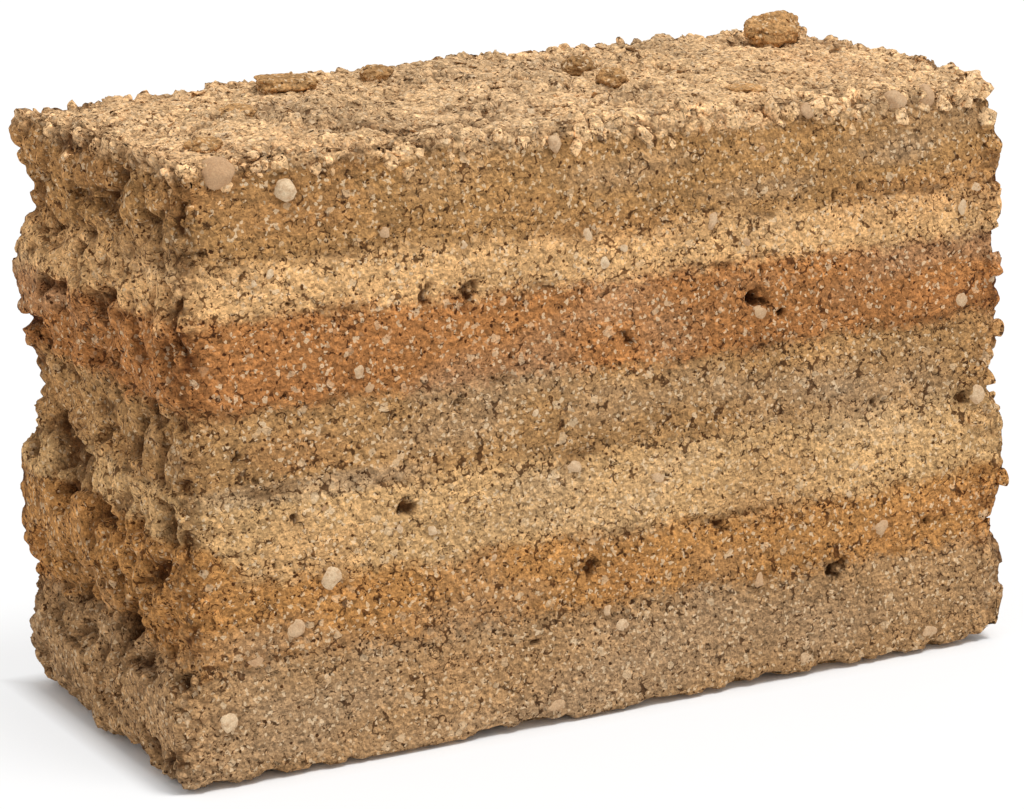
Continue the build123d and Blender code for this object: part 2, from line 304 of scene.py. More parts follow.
# Pits in the front face: along, up, radius
facePits = [
    (-0.148, 0.193, 0.003),
    (-0.088, 0.191, 0.0026),
    (-0.068, 0.189, 0.0036),
    (-0.016, 0.183, 0.0022),
    (0.007, 0.161, 0.0034),
    (0.071, 0.172, 0.0056),
    (0.082, 0.165, 0.0036),
    (0.074, 0.185, 0.003),
    (-0.075, 0.144, 0.003),
    (-0.174, 0.136, 0.003),
    (-0.167, 0.122, 0.0024),
    (-0.1, 0.104, 0.004),
    (0.133, 0.118, 0.003),
    (0.179, 0.114, 0.0036),
    (0.051, 0.075, 0.0032),
    (-0.015, 0.066, 0.0034),
    (0.161, 0.061, 0.0036),
    (0.111, 0.048, 0.0048),
    (-0.043, 0.038, 0.003),
    (-0.187, 0.216, 0.004),
    (-0.17, 0.207, 0.0026),
    (0.123, 0.213, 0.003),
    (0.111, 0.213, 0.0024),
    (-0.05, 0.161, 0.0024),
    (-0.153, 0.157, 0.0026),
    (-0.149, 0.106, 0.0024),
]

# Pebbles in the front face: along, up, breadth, height, turn, tint from cream (0) to brown (1)
facePebbles = [
    (-0.106, 0.218, 0.0078, 0.0072, 10, 0.65),
    (-0.013, 0.207, 0.008, 0.0078, 30, 0.3),
    (0.048, 0.207, 0.0062, 0.0088, 15, 0.45),
    (-0.149, 0.239, 0.01, 0.011, 40, 0.05),
    (-0.176, 0.247, 0.015, 0.014, 0, 0.8),
    (-0.12, 0.163, 0.0068, 0.007, 0, 0.35),
    (0.179, 0.159, 0.0082, 0.008, 20, 0.4),
    (-0.135, 0.08, 0.0115, 0.0108, 60, 0.15),
    (-0.152, 0.062, 0.0098, 0.009, 30, 0.45),
    (0.135, 0.062, 0.0092, 0.009, 10, 0.6),
    (0.071, 0.047, 0.0092, 0.008, 70, 0.65),
    (0.001, 0.039, 0.009, 0.0082, 25, 0.25),
    (-0.183, 0.028, 0.0102, 0.011, 35, 0.1),
    (-0.032, 0.009, 0.0105, 0.0065, 0, 0.55),
    (-0.02, 0.11, 0.01, 0.006, 15, 0.3),
    (0.188, 0.115, 0.011, 0.01, 50, 0.3),
    (0.179, 0.2, 0.006, 0.009, -10, 0.25),
    (-0.005, 0.195, 0.0068, 0.006, 45, 0.1),
    (-0.07, 0.209, 0.0052, 0.0048, 0, 0.1),
    (-0.17, 0.051, 0.011, 0.009, 80, 0.75),
    (0.186, 0.208, 0.008, 0.007, 20, 0.3),
    (0.144, 0.25, 0.0115, 0.009, 15, 0.55),
    (0.161, 0.25, 0.0115, 0.0095, 70, 0.65),
    (0.098, 0.249, 0.008, 0.007, 35, 0.6),
    (-0.027, 0.246, 0.008, 0.0065, 50, 0.45),
    (0.162, 0.01, 0.01, 0.007, 5, 0.5),
    (0.095, 0.009, 0.009, 0.0065, 0, 0.45),
    (-0.157, 0.206, 0.0046, 0.005, 20, 0.1),
    (-0.164, 0.203, 0.004, 0.0042, 60, 0.15),
    (-0.089, 0.093, 0.006, 0.0054, 30, 0.2),
    (-0.104, 0.096, 0.005, 0.0044, 75, 0.25),
    (0.005, 0.2, 0.0046, 0.004, 10, 0.15),
    (0.072, 0.165, 0.008, 0.006, 20, 0.6),
    (-0.006, 0.046, 0.0064, 0.0056, 50, 0.35),
    (0.02, 0.1, 0.007, 0.005, 10, 0.4),
]

# Stones and hard clods that stand in the top: along, across, breadth, depth, height, turn, tone
topStones = [
    (0.1586, 0.0481, 0.031, 0.024, 0.0146, 12, 1.02),
    (0.0386, 0.0218, 0.019, 0.016, 0.0085, 40, 0.74),
    (0.0403, -0.0036, 0.015, 0.014, 0.0085, 75, 0.86),
    (-0.0485, 0.0471, 0.019, 0.015, 0.007, 20, 0.8),
    (-0.0925, 0.0455, 0.03, 0.024, 0.008, 0, 0.9),
    (-0.1348, 0.0033, 0.021, 0.017, 0.005, 55, 1.00),
    (-0.1706, -0.0408, 0.017, 0.014, 0.006, 30, 0.95),
    (0.0822, -0.044, 0.02, 0.017, 0.0036, 65, 1.1),
]

stoneSeat = {"from": 0.235, "inner": 0.62, "outer": 0.85}  # lowest height, and radii as shares of breadth


def levelStones(points, normals):  # takes the plain stones off, so that the detailed ones can stand there
    upper = points[:, 2] > stoneSeat["from"]
    for along, across, breadth, depth, height, turn, tone in topStones:
        gap = np.hypot(points[:, 0] - along, points[:, 1] - across)
        inner = breadth * stoneSeat["inner"]
        ring = upper & (gap > inner) & (gap < breadth * stoneSeat["outer"])
        inside = upper & (gap <= inner)
        if not ring.any():
            continue
        points[inside, 2] = np.minimum(points[inside, 2], points[ring, 2].mean())
        normals[inside] = (0, 0, 1)


# Sides of the block, each with a grid as fine as its relief needs
blockSides = {
    "frontFace": {"grid": 0.00145},
    "backFace": {"grid": 0.0021},
    "brokenEnds": {"grid": 0.00108},
    "dressedTop": {"grid": 0.00125},
    "bed": {"grid": 0.004},
}

relief = {
    "faceLump": 0.001,
    "faceRough": 0.001,
    "endSwell": 0.002,
    "endLump": 0.0038,
    "endKnob": 0.0019,
    "endPore": 0.0019,
    "endPoreLevel": 0.25,  # share of the pores and pockets that is taken up again over the whole end
    "endPocket": 0.006,
    "endPocketLevel": 0.1,
    "rightShare": 0.6,  # the right end is less broken than the left
    "topLump": 0.0024,
    "topSink": 0.0016,
    "topClod": 0.0032,
    "topBit": 0.0008,
    "topPore": 0.0016,
    "topLooseFrom": (-0.3, 0.3),
    "jointGap": 0.0016,
    "jointReach": 0.0028,
    "jointTorn": (0.0, 0.45),
    "arrisBlock": 0.0026,
    "cornerShare": 0.25,  # how much of that the upright corners have
    "upperFrom": (0.225, 0.24),
    "arrisFace": (0.004, 0.014),  # how near to a face, an end and the top an arris starts and stops
    "arrisEnd": (0.012, 0.024),
    "arrisTop": (0.239, 0.25),
    "arrisFoot": 0.004,
    "quietFace": 0.4,
    "sideFrom": (0.45, 0.85),
    "faceLean": 0.012,
    "leanHeight": 0.252,
    "footSwell": 0.008,
    "footSwellEven": (0.75, 0.6),  # even and uneven share of the swelling
    "footSwellAlong": (-0.185, -0.165),
    "footSwellUp": (0.022, 0.05),
    "footBand": 0.012,
    "footLevel": 0.2,
    "footLoss": 0.0026,
    "footLossFrom": (-0.25, 0.55),
    "footGap": 0.0042,  # height and depth of the crumbled hollow under the lower arris
    "footGapSpan": (0.35, 0.85),
    "footGapSoft": 0.6,
    "footUndercut": 0.009,
    "corner": (0.2075, -0.0965, -0.015),  # middle and reach of the blow that took the lower right corner
    "cornerReach": 0.04,
    "cornerSoft": (0.0005, 0.004),
    "cornerFill": 0.011,
    "cornerFoot": 0.1945,  # where the right end stands at the bed, and how it leans out above it
    "cornerLean": 0.36,
    "boxMargin": 0.0006,
    "overlap": 0.04,
    "bedShrink": 0.9,
    "guideGrid": 0.006,
    "guideNear": 4,
    "guideSoft": 0.0005,
    "sideLean": 0.35,
}

# Hollows: how far and over what length their outline is bent, its seed, and where their rim lies in the noise
hollows = {
    "endPores": {"bend": (0.002, 0.006, 35), "rim": (0.08, 0.42)},
    "endPockets": {"bend": (0.005, 0.014, 33), "rim": (0.26, 0.52)},
    "topPores": {"bend": (0.002, 0.006, 55), "rim": (0.2, 0.5)},
}
pitLook = {"bend": (0.0034, 0.0036, 77), "rim": (0.45, 0.9), "depth": 0.9, "front": -0.5}
# inner and outer edge of the ring of painted shade round each pebble's seat
seatRim = (0.1, 0.45)

# How much painted shade the bottom of each kind of hollow gets
paintedShadeStrength = {
    "endKnob": 0.25,
    "endPore": 0.55,
    "endPocket": 0.75,
    "topClod": 0.35,
    "topBit": 0.25,
    "topPore": 0.45,
    "slit": 0.5,
    "block": 0.55,
    "seat": 0.4,
}


def hollowAt(points, name):
    look = hollows[name]
    return smoothStep(*look["rim"], noiseAt(warped(points, *look["bend"]), name))


def remeshedCopy(source, grid):
    scratch = addToScene("blockScratch", source.data.copy())
    remesh = scratch.modifiers.new("evenGrid", "REMESH")
    remesh.mode = "VOXEL"
    remesh.voxel_size = grid
    depsgraph = bpy.context.evaluated_depsgraph_get()
    mesh = bpy.data.meshes.new_from_object(scratch.evaluated_get(depsgraph))
    bpy.data.objects.remove(scratch)
    return mesh


def readVectors(items, name):
    values = np.empty(len(items) * 3)
    items.foreach_get(name, values)
    return values.reshape(-1, 3)


def buildGuide():  # coarse skin of the block, whose normals all sides share so that they meet
    mesh = remeshedCopy(cadBlock, relief["guideGrid"])
    places = readVectors(mesh.vertices, "co")
    normals = readVectors(mesh.vertices, "normal")
    tree = kdtree.KDTree(len(places))
    for index, place in enumerate(places):
        tree.insert(place, index)
    tree.balance()
    bpy.data.meshes.remove(mesh)
    return tree, normals


guideTree, guideNormals = buildGuide()


def normalsAt(points):
    normals = np.empty_like(points)
    for index, point in enumerate(points):
        near = guideTree.find_n(point, relief["guideNear"])
        weights = np.array([1 / (gap + relief["guideSoft"]) for place, spot, gap in near])
        normals[index] = weights @ guideNormals[[spot for place, spot, gap in near]]
    return normals / np.linalg.norm(normals, axis=1)[:, None]


def sideScores(middles, normals):  # how strongly a place belongs to each side
    reach = (middles - blockMiddle) / blockHalf + relief["sideLean"] * normals
    return {
        "frontFace": -reach[:, 1],
        "backFace": reach[:, 1],
        "brokenEnds": np.abs(reach[:, 0]),
        "dressedTop": reach[:, 2],
        "bed": -reach[:, 2],
    }


def cutSide(name):  # points and quads of one side, with a narrow overlap onto its neighbours
    mesh = remeshedCopy(cadBlock, blockSides[name]["grid"])
    points = readVectors(mesh.vertices, "co")
    middles = readVectors(mesh.polygons, "center")
    facing = readVectors(mesh.polygons, "normal")
    quads = np.empty(len(mesh.loops), np.int32)
    mesh.loops.foreach_get("vertex_index", quads)
    quads = quads.reshape(-1, 4)
    bpy.data.meshes.remove(mesh)
    scores = sideScores(middles, facing)
    keep = scores[name] >= np.max(list(scores.values()), axis=0) - relief["overlap"]
    used, quads = np.unique(quads[keep], return_inverse=True)
    return points[used], quads.reshape(-1, 4)


def faceShares(normals):  # how much a point belongs to the long faces, the ends, the top and the bed
    facing = {
        "face": np.abs(normals[:, 1]),
        "end": np.abs(normals[:, 0]),
        "top": normals[:, 2],
        "bed": -normals[:, 2],
    }
    return {name: smoothStep(*relief["sideFrom"], share) for name, share in facing.items()}


def frontPlane(points):
    return boxLow[1] + relief["faceLean"] * points[:, 2] / relief["leanHeight"]


def fillCorner(points):  # the blow at the lower right corner left crumbs standing in its hollow
    inward = np.array(relief["corner"]) - points
    gap = np.linalg.norm(inward, axis=1)
    share = 1 - smoothStep(*relief["cornerSoft"], gap - relief["cornerReach"])
    moved = points + inward * (relief["cornerFill"] * share / gap)[:, None]
    moved[:, 2] = np.maximum(moved[:, 2], 0)
    moved[:, 0] = np.minimum(moved[:, 0], relief["cornerFoot"] + relief["cornerLean"] * moved[:, 2])
    moved[:, 1] = np.maximum(moved[:, 1], frontPlane(moved))
    return np.where(share[:, None] > 0, moved, points)


def swellFoot(points):  # rounded buttresses of earth along the foot of the left end
    share = 1 - smoothStep(*relief["footSwellAlong"], points[:, 0])
    share = share * (1 - smoothStep(*relief["footSwellUp"], points[:, 2]))
    even, uneven = relief["footSwellEven"]
    swell = relief["footSwell"] * share * (even + uneven * noiseAt(points, "footSwells"))
    return points - swell[:, None] * np.array([1, 0, 0])


def arrisShare(points):  # 1 along the upper arrises and the upright corners
    toFace = np.minimum(points[:, 1] - frontPlane(points), boxHigh[1] - points[:, 1])
    nearFace = 1 - smoothStep(*relief["arrisFace"], toFace)
    nearEnd = 1 - smoothStep(*relief["arrisEnd"], blockHalf[0] - np.abs(points[:, 0]))
    nearTop = smoothStep(*relief["arrisTop"], points[:, 2])
    pairs = [np.minimum(nearFace, nearEnd), np.minimum(nearFace, nearTop), np.minimum(nearEnd, nearTop)]
    return np.max(pairs, axis=0) * (points[:, 2] > relief["arrisFoot"])


def blockRelief(points, normals, arris):  # how far each point moves out, and how much painted shade its hollow gets
    share = faceShares(normals)
    level = liftLevel(points)
    coarse = coarseness(points, level)
    lumps = relief["faceLump"] * noiseAt(points, "faceLumps")
    rough = relief["faceRough"] * noiseAt(points, "faceRough") * (relief["quietFace"] + coarse)
    rise = share["face"] * (lumps + rough)

    # broken ends: lumps and knobs, open with pores and deep pockets, with painted shade in the crevices
    # between knobs, in the pores and in the pockets
    knob, knobGap = clodsAt(points, "endKnobs")
    pore = hollowAt(points, "endPores")
    pocket = hollowAt(points, "endPockets")
    endRise = relief["endSwell"] + relief["endLump"] * noiseAt(points, "endLumps") + relief["endKnob"] * knob
    sunk = relief["endPore"] * (pore - relief["endPoreLevel"])
    endRise -= sunk + relief["endPocket"] * (pocket - relief["endPocketLevel"])
    endRise *= np.where(points[:, 0] > 0, relief["rightShare"], 1)
    rise += share["end"] * endRise
    shade = paintedShadeStrength["endKnob"] * knobGap + paintedShadeStrength["endPore"] * pore + paintedShadeStrength["endPocket"] * pocket
    paintedShade = share["end"] * shade

    # lumpy crust of the top, with painted shade between the clods and bits and in the pores
    clod, clodGap = clodsAt(points, "topClods")
    bit, bitGap = clodsAt(points, "topBits")
    loose = smoothStep(*relief["topLooseFrom"], noiseAt(points, "topLoose"))
    hole = hollowAt(points, "topPores")
    topRise = relief["topLump"] * noiseAt(points, "topCrust") + relief["topClod"] * loose * clod
    topRise += relief["topBit"] * bit - relief["topPore"] * hole - relief["topSink"]
    rise += share["top"] * topRise
    shade = paintedShadeStrength["topClod"] * loose * clodGap + paintedShadeStrength["topBit"] * bitGap + paintedShadeStrength["topPore"] * hole
    paintedShade += share["top"] * shade

    # broken slits along the joints of the lifts, with painted shade in them on the long faces
    slitHere = smoothStep(*relief["jointTorn"], noiseAt(points, "jointSlits"))
    slit = jointNearness(level, relief["jointReach"]) * slitHere * (1 - share["top"])
    rise -= relief["jointGap"] * slit
    paintedShade += paintedShadeStrength["slit"] * slit * share["face"]

    # blocks along the upper arrises and down the upright corners, with painted shade in the crevices between
    # them
    block, blockGap = clodsAt(points, "arrisBlocks")
    upper = smoothStep(*relief["upperFrom"], points[:, 2])
    lower = relief["cornerShare"]
    rise += arris * relief["arrisBlock"] * (lower + (1 - lower) * upper) * block
    paintedShade += arris * paintedShadeStrength["block"] * blockGap

    # pits in the front face with painted shade in them, and a ring of painted shade round the seat of each
    # pebble there
    front = normals[:, 1] < pitLook["front"]
    bentFace = warped(points, *pitLook["bend"])
    for along, up, radius in facePits:
        gap = np.hypot(bentFace[:, 0] - along, bentFace[:, 2] - up) / radius
        pit = np.where(front, 1 - smoothStep(*pitLook["rim"], gap), 0)
        rise -= pitLook["depth"] * radius * pit
        paintedShade = np.maximum(paintedShade, pit)
    for along, up, breadth, height, turn, tint in facePebbles:
        gap = faceGap(points, along, up, breadth, height)
        seat = np.where(front, 1 - smoothStep(*seatRim, np.abs(gap - 1.0)), 0)
        paintedShade = np.maximum(paintedShade, paintedShadeStrength["seat"] * seat)
    bedded = 1 - share["bed"]
    return rise * bedded, np.clip(paintedShade * bedded, 0, 1)


def footChips(points, normals):  # how far the lower arris has crumbled in, sideways only
    steep = np.linalg.norm(normals[:, :2], axis=1)
    sideways = normals[:, :2] / np.maximum(steep, relief["footLevel"])[:, None]
    loss = smoothStep(*relief["footLossFrom"], noiseAt(points, "footLoss"))
    low = 1 - smoothStep(0.0, relief["footBand"], points[:, 2])
    least, spread = relief["footGapSpan"]
    gap = relief["footGap"] * (least + spread * loss)
    under = 1 - smoothStep(relief["footGapSoft"] * gap, gap, points[:, 2])
    return -sideways * (relief["footLoss"] * loss * low + relief["footUndercut"] * under)[:, None]


bakeMap = {"endWidth": 0.46, "rightEnd": 0.54, "edge": 0.01}


def flatSpots(name, points):  # the bake map of a side: seen square on, the two ends beside each other
    share = (points - boxLow) / (boxHigh - boxLow)
    if name in ("frontFace", "backFace"):
        spots = share[:, [0, 2]]
    elif name == "brokenEnds":
        beside = np.where(points[:, 0] > 0, bakeMap["rightEnd"], 0)
        spots = np.stack([share[:, 1] * bakeMap["endWidth"] + beside, share[:, 2]], axis=1)
    else:
        spots = share[:, [0, 1]]
    return bakeMap["edge"] + (1 - 2 * bakeMap["edge"]) * spots


def buildSide(name):
    points, quads = cutSide(name)
    normals = normalsAt(points)
    points = swellFoot(fillCorner(points))
    arris = arrisShare(points)
    levelStones(points, normals)
    rise, paintedShade = blockRelief(points, normals, arris)
    chips = footChips(points, normals)
    points = points + normals * rise[:, None]
    points[:, :2] += chips
    if name == "bed":
        points[:, :2] *= relief["bedShrink"]
    points = insideBox(points, relief["boxMargin"], 0)
    mesh = newMesh(name, points, quads, True)
    setValues(mesh, earthValues(points))
    # the painted shade of the hollows goes to the finish with the mesh
    setValues(mesh, {"hollowShade": paintedShade, "pale": np.zeros(len(points))})
    setBakeMap(mesh, flatSpots(name, points))
    print(name, 2 * len(quads), "triangles")
    return addPiece(name, mesh), arris


sides = {name: buildSide(name) for name in blockSides}
pieces = [piece for piece, arris in sides.values()]


# Crumbs: grains bedded in the skin of the earth, copies of a small stock of rounded domes
crumbStock = {
    "shapes": 48,
    "swell": (0.78, 1.12),
    "jitter": 0.16,
    "length": (0.9, 1.3),
    "breadth": (0.7, 1.0),
    "tilt": 0.22,
    "pale": (0.35, 0.85),
    "mapShare": 0.35,
    "mapReach": 1.25,
    "footShadeFrom": (-0.1, 0.16),
    "smallBias": 1.6,
    "bigShare": 0.05,
    "clearance": 1.05,
}
pieceEdge = (0.0004, 0.0002)  # how far crumbs and stones stay inside the box at the sides and at the foot


def arraysOf(body):
    points = np.array([vert.co for vert in body.verts])
    faces = np.array([[vert.index for vert in face.verts] for face in body.faces])
    body.free()
    return points, faces


def domeShape():
    body = bmesh.new()
    bmesh.ops.create_icosphere(body, subdivisions=1, radius=1)
    body.verts.ensure_lookup_table()
    foot = min(body.verts, key=lambda vert: vert.co.z)
    body.verts.remove(foot)
    body.verts.index_update()
    points, faces = arraysOf(body)
    swell = rng.uniform(*crumbStock["swell"], (len(points), 1))
    return points * swell + rng.normal(0, crumbStock["jitter"], points.shape), faces


stock = [domeShape() for shape in range(crumbStock["shapes"])]


def surfaceOf(piece, arris):
    mesh = piece.data
    mesh.calc_loop_triangles()
    corners = np.empty(len(mesh.loop_triangles) * 3, np.int32)
    mesh.loop_triangles.foreach_get("vertices", corners)
    corners = corners.reshape(-1, 3)
    points = readVectors(mesh.vertices, "co")
    normals = readVectors(mesh.vertices, "normal")
    a, b, c = (points[corners[:, k]] for k in range(3))
    areas = np.linalg.norm(np.cross(b - a, c - a), axis=1) / 2
    arris = arris[corners[:, 0]]
    return {"corners": corners, "points": points, "normals": normals, "areas": areas, "arris": arris}


def joinedSurface(surfaces):
    starts = np.cumsum([0] + [len(surface["points"]) for surface in surfaces])
    joined = {}
    for key in ("points", "normals", "areas", "arris"):
        joined[key] = np.concatenate([surface[key] for surface in surfaces])
    corners = [surface["corners"] + start for surface, start in zip(surfaces, starts)]
    joined["corners"] = np.concatenate(corners)
    return joined


def pickPlaces(surface, weights, count):
    odds = np.cumsum(surface["areas"] * weights)
    chosen = np.searchsorted(odds, rng.random(count) * odds[-1])
    u = rng.random(count)
    v = rng.random(count)
    over = u + v > 1
    u = np.where(over, 1 - u, u)
    v = np.where(over, 1 - v, v)
    mix = np.stack([1 - u - v, u, v], axis=1)
    corners = surface["corners"][chosen]
    places = np.einsum("nk,nkd->nd", mix, surface["points"][corners])
    normals = np.einsum("nk,nkd->nd", mix, surface["normals"][corners])
    return places, normals / np.linalg.norm(normals, axis=1)[:, None]


def turnTo(normals, tilt):  # a frame for each crumb, its last axis near the normal
    count = len(normals)
    up = normals + rng.normal(0, tilt, (count, 3))
    up /= np.linalg.norm(up, axis=1)[:, None]
    side = np.cross(up, rng.normal(0, 1, (count, 3)))
    side /= np.linalg.norm(side, axis=1)[:, None]
    return np.stack([side, np.cross(up, side), up], axis=2)


def crumbMesh(name, places, normals, sizes, look):
    count = len(places)
    kinds = rng.integers(0, len(stock), count)
    length = rng.uniform(*crumbStock["length"], count)
    breadth = rng.uniform(*crumbStock["breadth"], count)
    aspect = np.stack([length, breadth, np.full(count, look["flatness"])], axis=1)
    halves = aspect * sizes[:, None] * 0.5
    turns = turnTo(normals, crumbStock["tilt"])
    centres = places - normals * (sizes * look["bedding"])[:, None]
    known = earthValues(centres)
    known["tone"] = known["tone"] * rng.uniform(1 - look["toneSpread"], 1 + look["toneSpread"], count)
    isPale = rng.random(count) < look["paleShare"]
    known["pale"] = np.where(isPale, rng.uniform(*crumbStock["pale"], count), 0)
    points, faces, spots = [], [], []
    values = {key: [] for key in ("hollowShade", *known)}
    start = 0
    across = math.ceil(math.sqrt(count))
    mapReach = crumbStock["mapReach"]
    for kind, (shape, shapeFaces) in enumerate(stock):
        mine = np.flatnonzero(kinds == kind)
        size = len(shape)
        spread = np.einsum("nij,nkj->nki", turns[mine], shape[None] * halves[mine][:, None, :])
        points.append((spread + centres[mine][:, None, :]).reshape(-1, 3))
        faces.append((start + size * np.arange(len(mine))[:, None, None] + shapeFaces[None]).reshape(-1, 3))
        start += size * len(mine)
        cell = np.stack([mine % across, mine // across], axis=1)
        flat = 0.5 + crumbStock["mapShare"] * np.clip(shape[:, :2], -mapReach, mapReach)
        spots.append(((cell[:, None, :] + flat[None]) / across).reshape(-1, 2))
        # painted shade round the foot of each crumb, where it sits in the skin
        above = np.einsum("nki,ni->nk", spread, normals[mine]) / sizes[mine][:, None] - look["bedding"]
        nearFoot = 1 - smoothStep(*crumbStock["footShadeFrom"], above)
        values["hollowShade"].append(look["footShade"] * nearFoot.ravel())
        for key, source in known.items():
            values[key].append(np.repeat(source[mine], size))
    points = insideBox(np.concatenate(points), *pieceEdge)
    mesh = newMesh(name, points, np.concatenate(faces), False)
    setValues(mesh, {key: np.concatenate(parts) for key, parts in values.items()})
    setBakeMap(mesh, np.concatenate(spots))
    return mesh


crumbs = {
    "frontCrumbs": {
        "side": "frontFace", "count": 7000, "size": (0.0012, 0.0034), "big": 0.0052, "flatness": 0.5,
        "bedding": 0.18, "toneSpread": 0.15, "paleShare": 0.06, "footShade": 0.5,
    },
    "backCrumbs": {
        "side": "backFace", "count": 4500, "size": (0.0014, 0.0032), "big": 0.0048, "flatness": 0.6,
        "bedding": 0.2, "toneSpread": 0.18, "paleShare": 0.1, "footShade": 0.5,
    },
    "endCrumbs": {
        "side": "brokenEnds", "count": 3600, "size": (0.0015, 0.0036), "big": 0.0056, "flatness": 0.42,
        "bedding": 0.18, "toneSpread": 0.16, "paleShare": 0.05, "footShade": 0.5,
    },
    "topCrumbs": {
        "side": "dressedTop", "count": 4500, "size": (0.0016, 0.0046), "big": 0.0085, "flatness": 0.4,
        "bedding": 0.08, "toneSpread": 0.2, "paleShare": 0.08, "footShade": 0.7,
    },
    "arrisCrumbs": {
        "side": "arris", "count": 1400, "size": (0.002, 0.0046), "big": 0.0064, "flatness": 0.46,
        "bedding": 0.18, "toneSpread": 0.18, "paleShare": 0.12, "footShade": 0.6,
    },
}


def clearOfPits(places):
    clear = np.ones(len(places), bool)
    for along, up, radius in facePits:
        clear &= np.hypot(places[:, 0] - along, places[:, 2] - up) > radius * crumbStock["clearance"]
    return clear


surfaces = {name: surfaceOf(*sides[name]) for name in blockSides if name != "bed"}
wholeSurface = joinedSurface(list(surfaces.values()))
for name, look in crumbs.items():
    if look["side"] == "arris":
        places, normals = pickPlaces(wholeSurface, wholeSurface["arris"], look["count"])
    else:
        surface = surfaces[look["side"]]
        places, normals = pickPlaces(surface, np.ones(len(surface["areas"])), look["count"])
    if look["side"] == "frontFace":
        keep = clearOfPits(places)
        places = places[keep]
        normals = normals[keep]
    small, large = look["size"]
    sizes = small + (large - small) * rng.random(len(places)) ** crumbStock["smallBias"]
    big = rng.random(len(places)) < crumbStock["bigShare"]
    sizes = np.where(big, large + (look["big"] - large) * rng.random(len(places)), sizes)
    pieces.append(addPiece(name, crumbMesh(name, places, normals, sizes, look)))
    print(name, len(places))


# Pebbles and stones
pebbleLook = {
    "onFace": (0.1, 0.5),  # how far a stone stands out and how thick it is, as shares of its size
    "onArris": (0.42, 0.95),
    "arrisFrom": 0.236,
    "footFrom": 0.006,
    "detail": 3,
}
scatteredLook = {
    "count": 60,
    "size": (0.003, 0.0064),
    "bedding": 0.16,
    "growth": 0,
    "tilt": 0.2,
    "length": 1,
    "breadth": (0.7, 1),
    "thickness": 0.5,
    "tone": (0, 1),
    "detail": 2,
    "first": 50,
}

# How a stone is shaped: flats knocked onto a ball, how deep they cut, and the roughness left on it
pebbleShape = {"flats": 8, "cut": (0.68, 0.92), "rough": 0.14}
blockShape = {"flats": 13, "cut": (0.46, 0.74), "rough": 0.07}
clodShape = {"flats": 7, "cut": (0.74, 0.95), "rough": 0.2}
stoneRough = {"flatness": 0.95, "apart": 3.7, "coarse": (1.1, 2, 101), "fine": (0.35, 2, 103)}
roughShares = (1.2, 0.7)
stoneMap = {"share": 0.38, "reach": 1.2}


def brokenStone(detail, shape, seed):
    body = bmesh.new()
    bmesh.ops.create_icosphere(body, subdivisions=detail, radius=1)
    points, faces = arraysOf(body)
    for flat in range(shape["flats"]):
        towards = rng.normal(0, 1, 3)
        towards /= np.linalg.norm(towards)
        over = np.maximum(points @ towards - rng.uniform(*shape["cut"]), 0)
        points = points - stoneRough["flatness"] * over[:, None] * towards
    away = points + seed * stoneRough["apart"]
    coarse, fine = roughShares
    lumps = coarse * roughNoise(away, *stoneRough["coarse"]) + fine * roughNoise(away, *stoneRough["fine"])
    return points * (1 + shape["rough"] * lumps)[:, None], faces


def stoneMesh(label, stones):  # each stone: points, faces, tone and its shape before it was turned
    points, faces, tones, spots = [], [], [], []
    start = 0
    across = math.ceil(math.sqrt(2 * len(stones)))
    mapReach = stoneMap["reach"]
    for index, (body, sides, tone, unit) in enumerate(stones):
        points.append(body)
        faces.append(sides + start)
        tones.append(np.full(len(body), tone))
        half = 2 * index + (unit[:, 2] < 0)
        cell = np.stack([half % across, half // across], axis=1)
        flat = stoneMap["share"] * np.clip(unit[:, :2], -mapReach, mapReach)
        spots.append((cell + 0.5 + flat) / across)
        start += len(body)
    points = insideBox(np.concatenate(points), *pieceEdge)
    mesh = newMesh(label, points, np.concatenate(faces), True)
    values = earthValues(points)
    values["tone"] = np.concatenate(tones)
    for name in ("hollowShade", "pale"):
        values[name] = np.zeros(len(points))
    setValues(mesh, values)
    setBakeMap(mesh, np.concatenate(spots))
    return mesh


castFrom = {"front": -0.3, "top": 0.4}  # well outside the block


def surfaceAt(side, origin, direction):
    hit, place, normal, index = sides[side][0].ray_cast(Vector(origin), Vector(direction))
    return np.array(place) if hit else None


def scatteredStones(look, shape, weights):
    stones = []
    places, normals = pickPlaces(wholeSurface, weights, look["count"])
    turns = turnTo(normals, look["tilt"])
    small, large = look["size"]
    for index, (place, normal, turn) in enumerate(zip(places, normals, turns)):
        unit, faces = brokenStone(look["detail"], shape, index + look["first"])
        size = small + (large - small) * rng.random() ** 2
        size *= 1 + look["growth"] * place[0] / blockHalf[0]
        body = unit * np.array([look["length"], rng.uniform(*look["breadth"]), look["thickness"]]) * size / 2
        body = body @ turn.T + place - normal * size * look["bedding"]
        stones.append((body, faces, rng.uniform(*look["tone"]), unit))
    return stones


def buildPebbles():
    stones = []
    for index, (along, up, breadth, height, turn, tint) in enumerate(facePebbles):
        place = surfaceAt("frontFace", (along, castFrom["front"], up), (0, 1, 0))
        unit, faces = brokenStone(pebbleLook["detail"], pebbleShape, index)
        small = min(breadth, height)
        proud, thickness = pebbleLook["onArris"] if up > pebbleLook["arrisFrom"] else pebbleLook["onFace"]
        depth = thickness * small
        spin = np.array(Matrix.Rotation(math.radians(turn), 3, "Y"))
        sunk = depth / 2 - proud * small
        body = unit * np.array([breadth, depth, height]) / 2 @ spin.T + place + np.array([0, sunk, 0])
        stones.append((body, faces, tint, unit))
    aboveFoot = wholeSurface["points"][wholeSurface["corners"][:, 0], 2] > pebbleLook["footFrom"]
    stones += scatteredStones(scatteredLook, pebbleShape, aboveFoot)
    return addPiece("pebbles", stoneMesh("pebbles", stones))


